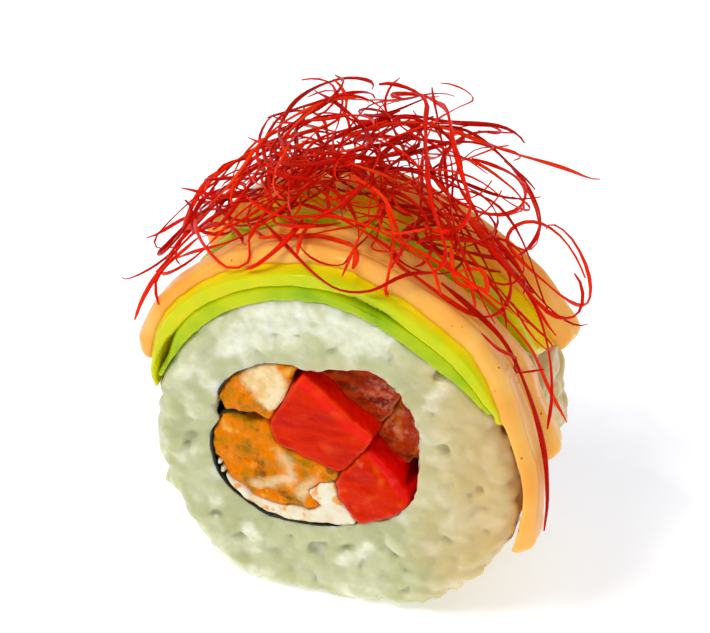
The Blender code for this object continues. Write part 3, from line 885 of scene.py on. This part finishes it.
# %% Spiced mayonnaise: an opaque emulsion, peach-orange and glossy, with specks of chilli powder
mayonnaise, add, given = new_material(
    "Spiced mayonnaise", Roughness=0.3, IOR=1.46, Specular_IOR_Level=0.3, Specular_Tint=linear("#ffc080"),
    Subsurface_Weight=0.35, Subsurface_Scale=1.8 * MM, Subsurface_Radius=(1.0, 0.5, 0.15), Coat_Weight=0.3,
    Coat_Roughness=0.12,
)
swirl = add("TexNoise", features(given["place"], 9, 2))
tone = add("ValToRGB", {"Fac": swirl}, stops=((0.35, "#feaa3e"), (0.55, "#ffb850"), (0.7, "#ffc76a")))
dots = add("TexVoronoi", {"Vector": given["place"], "Scale": 1 / (1.5 * MM), "Randomness": 1.0})
speck = add("ValToRGB", {"Fac": dots}, stops=((0.07, "#ffffff"), (0.11, "#000000")))
kind = add("SeparateColor", {"Color": dots.outputs["Color"]})
chosen = add("Math", {0: kind, 1: 0.45}, operation="LESS_THAN")
amount = add("Math", {0: speck, 1: chosen}, operation="MULTIPLY")
add("Mix", {"Factor": amount, "A": tone, "B": "#a8330f"}, to="Base Color", data_type="RGBA")


# %% The three ribbons
def pour_ribbon(node, seed):
    """A softened ribbon with a shallow groove along it, a little off its middle."""
    piece, points, normals = food(node, node + "_ribbon", 0.25 * MM, 14, mayonnaise, share=0.9)
    low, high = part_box(node)
    across = (points[:, 1] - low.y) / (high.y - low.y)
    groove = 0.55 + 0.12 * np.sin(np.radians(around(points)[0] * 2.2 + seed * 40))
    valley = np.exp(-(((across - groove) * (high.y - low.y) / MM) ** 2))
    valley *= ease(-np.abs(normals[:, 1]), -0.8, -0.4)
    points = pushed(points, normals, (0.3 * bumps(points, 6, seed) - 0.35 * valley) * MM)
    points[:, 1] += 0.35 * MM * bumps(points * np.array((1, 0.2, 1)), 7, seed + 1)
    move_points(piece.data, points)
    serve(piece, "sauce", node)


for node, seed in (("sauce_front", 61), ("sauce_middle", 65), ("sauce_rear", 69)):
    pour_ribbon(node, seed)

# %% [markdown]
# ## Chilli threads
# Dried chillies are shredded into hair-thin ribbons that tangle into a springy nest. Each thread is a path
# that wanders, curls and climbs over the others; the paths are walked in Python from one seed, and a
# Geometry Nodes tree sweeps a thin flat ribbon along them, tapered at both ends.

# %% Shredded dried chilli: thin glossy skin, from bright scarlet to deep red where it is thick
chilli_skin, add, given = new_material(
    "Shredded dried chilli", ("tone",), Roughness=0.4, IOR=1.45, Specular_IOR_Level=0.3,
    Specular_Tint=linear("#ff6040"), Subsurface_Weight=0.3, Subsurface_Scale=0.8 * MM,
    Subsurface_Radius=(1.0, 0.1, 0.05),
)
streak = add("TexNoise", features(given["place"], 2.5, 2))
drift = add("Math", {0: streak, 1: 0.5, 2: -0.25}, operation="MULTIPLY_ADD")
place = add("Math", {0: given["tone"], 1: drift}, operation="ADD")
add(
    "ValToRGB", {"Fac": place}, to="Base Color",
    stops=((0.0, "#a80a02"), (0.3, "#cc1002"), (0.65, "#ea1c02"), (1.0, "#fc3a0c")),
)

# %% The thread tree: a thin flat profile swept along each path
sweep, add, given = start_tree("Thread", Width="Float", Thickness="Float", Twist="Float", Material="Material")
paths = add("MeshToCurve", {"Mesh": given["Geometry"]})
walked = add("SplineParameter").outputs["Length"]
spin = add("Math", {0: walked, 1: given["Twist"]}, operation="MULTIPLY")
twisted = add("SetCurveTilt", {"Curve": paths, "Tilt": spin})
circle = add("CurvePrimitiveCircle", {"Resolution": 6, "Radius": 0.5})
oval_size = add("CombineXYZ", {0: given["Width"], 1: given["Thickness"], 2: 1.0})
oval = add("Transform", {"Geometry": circle, "Scale": oval_size})
wide = add("InputNamedAttribute", {"Name": "wide"}, data_type="FLOAT")
swept = add("CurveToMesh", {"Curve": twisted, "Profile Curve": oval, "Scale": wide, "Fill Caps": True})
finish_tree(add, swept, given)

# %% The ground that the threads lie on
NEST = Vector((-3.5 * MM, 4.8 * MM, 0))  # the middle of the tangle, seen from above
NEST_REACH = (20 * MM, 13 * MM)  # from there to its sides, and to its front and rear
NEST_RISE = 8.6 * MM
topping_surface = surface_of(solid_mesh(*[name for name in ALL_NODES if name != "chilli_threads"]))


def ground(x, y):
    """Height of the sauce, avocado or rice under this place, or None beside the piece."""
    hit = topping_surface.ray_cast(Vector((x, y, 0.1)), Vector((0, 0, -1)))[0]
    return hit.z if hit and hit.z > AXIS else None


def nest_height(x, y):
    """How high the tangle stands over the sauce at this place."""
    apart = math.hypot((x - NEST.x) / NEST_REACH[0], (y - NEST.y) / NEST_REACH[1])
    return NEST_RISE * max(0.0, 1 - apart**2) ** 0.6


def easy_ground(x, y):
    """The toppings as one smooth barrel. Stiff threads follow it over the top, fall away at 45 degrees past
    its sides and sink a little behind it."""
    barrel = 28.3 * MM
    side = barrel * math.sqrt(0.5)
    over = max(0.0, abs(x) - side) + 0.4 * max(0.0, y - REAR)
    return AXIS + math.sqrt(barrel**2 - min(abs(x), side) ** 2) - over


# %% Walking the paths
walk = random.Random(12)
STEP = 1.1 * MM
MARGIN = 0.6 * MM  # the threads may stand this far out of the solids' box
BRIM = AXIS + 27 * MM  # threads that hang lower than this keep further behind the front cut


def wander(middle, length, level, curl):
    """A springy path through its middle: it curls in plan, may end in hooks and arches over the toppings."""
    half = max(4, int(length / STEP / 2))
    heading = walk.uniform(0, math.tau)
    plan = {0: middle}
    for way in (1, -1):
        (x, y), turn, bend = middle, heading, curl
        hook = walk.choice((-1, 0, 1)) * walk.uniform(0.15, 0.4)
        hook_length = walk.uniform(4, 9) * MM
        for i in range(1, half + 1):
            bend = 0.88 * bend + 0.12 * curl + walk.gauss(0, 0.022)
            hooked = hook if (half - i) * STEP < hook_length else 0
            turn += way * (bend + hooked) * STEP / MM
            x += way * STEP * math.cos(turn)
            y += way * STEP * math.sin(turn)
            plan[way * i] = (x, y)
    rise = nest_height(*middle) * level + 0.4 * MM
    arch = walk.uniform(-3.0, 3.0) * MM
    tips = (walk.uniform(-4.0, 5.0) * MM, walk.uniform(-4.0, 5.0) * MM)
    phase, ripple, pitch = walk.uniform(0, 6.3), walk.uniform(0.2, 1.5) * MM, walk.uniform(1.8, 4.5)
    path = []
    for i in sorted(plan):
        x, y = plan[i]
        share = i / half
        lift = rise + arch * (1 - share**2) + tips[share > 0] * share**2
        path.append([x, y, easy_ground(x, y) + lift + ripple * math.sin(phase + i * STEP / MM / pitch)])
    return laid(path)


def laid(path):
    """The path lifted off the toppings and eased, three times over."""
    for _ in range(3):
        for point in path:
            floor = ground(point[0], point[1])
            if floor:
                point[2] = max(point[2], floor + 0.3 * MM)
        heights = [path[0][2], *[point[2] for point in path], path[-1][2]]
        for point, a, b, c in zip(path, heights, heights[1:], heights[2:]):
            point[2] = (a + 2 * b + c) / 4
    return [Vector(point) for point in path]


def fits(path):
    """Whether the path stays inside the limits and clear of the front cut."""
    low, high = cad_box
    inside = all(low[k] - MARGIN < point[k] < high[k] + MARGIN for point in path for k in range(3))
    return inside and all(point.y > FRONT + (BRIM - point.z) * 0.6 for point in path)


def nest_paths(count, reach, lengths, levels):
    """Paths round the nest's middle; one that doesn't fit is walked again."""
    paths = []
    while len(paths) < count:
        turn, out = walk.uniform(0, math.tau), walk.random() ** 0.5
        middle = (NEST.x + reach[0] * out * math.cos(turn), NEST.y + reach[1] * out * math.sin(turn))
        curl = walk.choice((-1, 1)) * walk.random() ** 2 * 0.16
        level = levels[0] + (levels[1] - levels[0]) * walk.random() ** 1.3
        path = wander(middle, walk.uniform(*lengths) * MM, level, curl)
        if fits(path):
            paths.append(path)
    return paths


# %% Strands listed one by one: those that hang over the front edge and run down the right-hand side
STRANDS = (  # each is a row of places: the angle, the depth behind the front cut and the lift, in mm
    (
        (66, 5.0, 1.2), (56, 5.5, 0.8), (44, 5.2, 0.6), (28, 4.6, 0.4), (12, 4.0, 0.1), (-2, 3.2, 0.1),
        (-12, 2.6, 0.3),
    ),
    ((72, 9.0, 2.5), (60, 8.5, 1.6), (48, 9.0, 0.9), (36, 9.4, 0.8), (22, 9.6, 0.6), (12, 9.8, 0.9)),
    (
        (108, 5.0, 1.8), (100, 1.8, 1.4), (93, -0.6, 0.4), (87, -0.9, -0.4), (80, -0.2, 0.6), (74, 2.4, 1.4),
        (68, 5.5, 2.2),
    ),
    ((112, 0.6, 0.3), (108, 0.4, 1.0), (102, 2.2, 1.6), (99, 5.0, 2.4)),
    ((140, 1.0, 0.2), (138, 2.4, 1.0), (134, 5.0, 1.6), (128, 8.0, 2.4)),
    ((152, 3.0, 0.5), (146, 3.6, 0.9), (138, 4.6, 1.5), (128, 6.2, 2.4)),
    ((92, 11.0, 7.5), (84, 9.0, 6.0), (77, 6.4, 4.4), (70, 3.8, 3.2), (65, 1.8, 3.0)),
    ((60, 14.0, 4.0), (46, 13.0, 3.4), (34, 11.0, 3.0), (24, 8.0, 2.0), (16, 6.0, 1.0)),
    ((104, 7.0, 4.0), (90, 5.0, 3.6), (76, 3.4, 4.4), (62, 3.0, 5.0), (50, 4.0, 4.6)),
    ((84, 10.0, 5.0), (80, 6.0, 4.4), (78, 2.6, 2.4), (77, 1.4, 0.4), (76, 1.6, -0.2)),
    ((68, 9.0, 4.4), (63, 6.5, 3.0), (58, 5.2, 4.2), (56, 6.4, 5.4), (60, 7.8, 5.0), (64, 6.8, 3.6)),
    ((128, 9.0, 4.0), (124, 5.0, 3.0), (121, 2.4, 1.8), (117, 1.0, 0.8), (112, 1.6, 0.6), (111, 3.2, 1.0)),
    ((52, 2.2, 1.0), (46, 3.0, 0.5), (40, 5.0, 0.6), (34, 7.0, 0.9), (30, 9.0, 1.2)),
)


def over_toppings(angle, depth, lift):
    """The point at this angle and depth, lifted over the toppings."""
    ray = Vector((math.cos(math.radians(angle)), 0, math.sin(math.radians(angle))))
    y = FRONT + max(depth, 0.3) * MM
    hit = topping_surface.ray_cast(Vector((0, y, AXIS)) + ray * 0.06, -ray)[0]
    return Vector((hit.x, FRONT + depth * MM, hit.z)) + ray * (lift + 0.35) * MM


def smooth_path(corners):
    """Points a step apart on the smooth curve through the corners."""
    ends = [corners[0] * 2 - corners[1], *corners, corners[-1] * 2 - corners[-2]]
    path = []
    for a, b, c, d in zip(ends, ends[1:], ends[2:], ends[3:]):
        steps = max(2, round((c - b).length / STEP))
        for t in (i / steps for i in range(steps)):
            curved = (2 * a - 5 * b + 4 * c - d) * t * t + (3 * b - 3 * c + d - a) * t**3
            path.append(b + (c - a) * t / 2 + curved / 2)
    return path + [corners[-1]]


# %% From paths to threads
def thread_mesh(paths, low_width, high_width):
    """A mesh of edges along the paths, with each thread's width in mm and its tone stored on its points."""
    points, edges, wide, tone = [], [], [], []
    for path in paths:
        width, own = low_width + (high_width - low_width) * walk.random() ** 1.6, walk.random()
        edges += [(len(points) + i, len(points) + i + 1) for i in range(len(path) - 1)]
        points += path
        share = np.arange(len(path)) / (len(path) - 1)
        wide += list(width * (0.45 + 0.55 * np.clip(14 * np.minimum(share, 1 - share), 0, 1)))
        tone += [own] * len(path)
    mesh = bpy.data.meshes.new("paths")
    mesh.from_pydata(points, edges, [])
    mark(mesh, wide=wide, tone=tone)
    return mesh


heart = nest_paths(30, (12 * MM, 6 * MM), (14, 34), (0.1, 0.9))
airy = nest_paths(90, (23 * MM, 11 * MM), (16, 58), (0.0, 1.0))
nest = run_tree(
    "chilli_nest", thread_mesh(heart + airy, 0.28, 0.72), sweep, Width=MM, Thickness=0.55 * MM, Twist=260.0,
    Material=chilli_skin,
)
serve(nest, "chilli", "chilli_threads")
placed_by_hand = [smooth_path([over_toppings(*corner) for corner in strand]) for strand in STRANDS]
strands = run_tree(
    "chilli_strands", thread_mesh(placed_by_hand, 0.45, 0.7), sweep, Width=MM, Thickness=0.6 * MM,
    Twist=180.0, Material=chilli_skin,
)
serve(strands, "chilli")

# %% [markdown]
# ## Table, light and camera
# The piece stands on a white table under a large soft light from the upper left, with a weak fill from the
# right, so the shadow falls to the lower right. Two lamps of a few centimetres add the small glints that
# show how wet the food is. The camera looks down at 38 degrees from a little to the right with a long
# lens, as in food catalogues.

# %% The table: white acrylic lit from below, as for catalogue pictures, so that shadows stay faint
tabletop, add, given = new_material(
    "White acrylic light table", Roughness=0.6, Emission_Color=linear("#ffffff"), Emission_Strength=0.35
)
faint = add("TexNoise", features(given["place"], 40, 2))
add("ValToRGB", {"Fac": faint}, to="Base Color", stops=((0.0, "#fbfbfb"), (1.0, "#ffffff")))
table_shape = bmesh.new()
bmesh.ops.create_grid(table_shape, x_segments=1, y_segments=1, size=3.0)
table = new_object("table", plain_mesh(table_shape), tabletop)


# %% The lights
LIT = Vector((0, 0, 30 * MM))  # the place that all lamps point at, inside the piece


def lamp(name, place, size, power, colour):
    """A square lamp of this size that shines on the piece."""
    light = bpy.data.lights.new(name, "AREA")
    light.size = size
    light.energy = power
    light.color = linear(colour)[:3]
    made = bpy.data.objects.new(name, light)
    bpy.context.scene.collection.objects.link(made)
    made.location = place
    made.rotation_euler = (LIT - Vector(place)).to_track_quat("-Z", "Y").to_euler()


lamp("key", (-0.36, -0.4, 0.88), 0.36, 4.4, "#fffdf8")
lamp("sparkle", (-0.3, -0.2, 0.8), 0.04, 0.7, "#ffffff")
lamp("glint", (0.69, -0.73, 0.1), 0.02, 0.3, "#ffffff")
lamp("fill", (0.35, -0.75, 0.4), 0.6, 1.2, "#f4f8ff")
lamp("top", (0.3, 0.1, 0.8), 0.7, 1.3, "#f4f8ff")
world = bpy.data.worlds.new("studio")
world.use_nodes = True
background = world.node_tree.nodes["Background"].inputs
background["Color"].default_value = linear("#f0f4ff")
background["Strength"].default_value = 0.4
bpy.context.scene.world = world
bpy.context.scene.view_settings.view_transform = "Standard"

# %% The camera
AZIMUTH, ELEVATION = math.radians(18), math.radians(38)
DISTANCE = 0.85
VIEW_WIDTH = 0.084  # of the picture, at the piece
level = math.cos(ELEVATION)
back = Vector((math.sin(AZIMUTH) * level, -math.cos(AZIMUTH) * level, math.sin(ELEVATION)))
low, high = cad_box
target = (low + high) / 2
lens = bpy.data.cameras.new("camera")
lens.lens = lens.sensor_width * DISTANCE / VIEW_WIDTH
lens.clip_start = 0.1
lens.clip_end = 10
camera = bpy.data.objects.new("camera", lens)
bpy.context.scene.collection.objects.link(camera)
camera.location = target + back * DISTANCE
camera.rotation_euler = back.to_track_quat("Z", "Y").to_euler()
bpy.context.scene.camera = camera
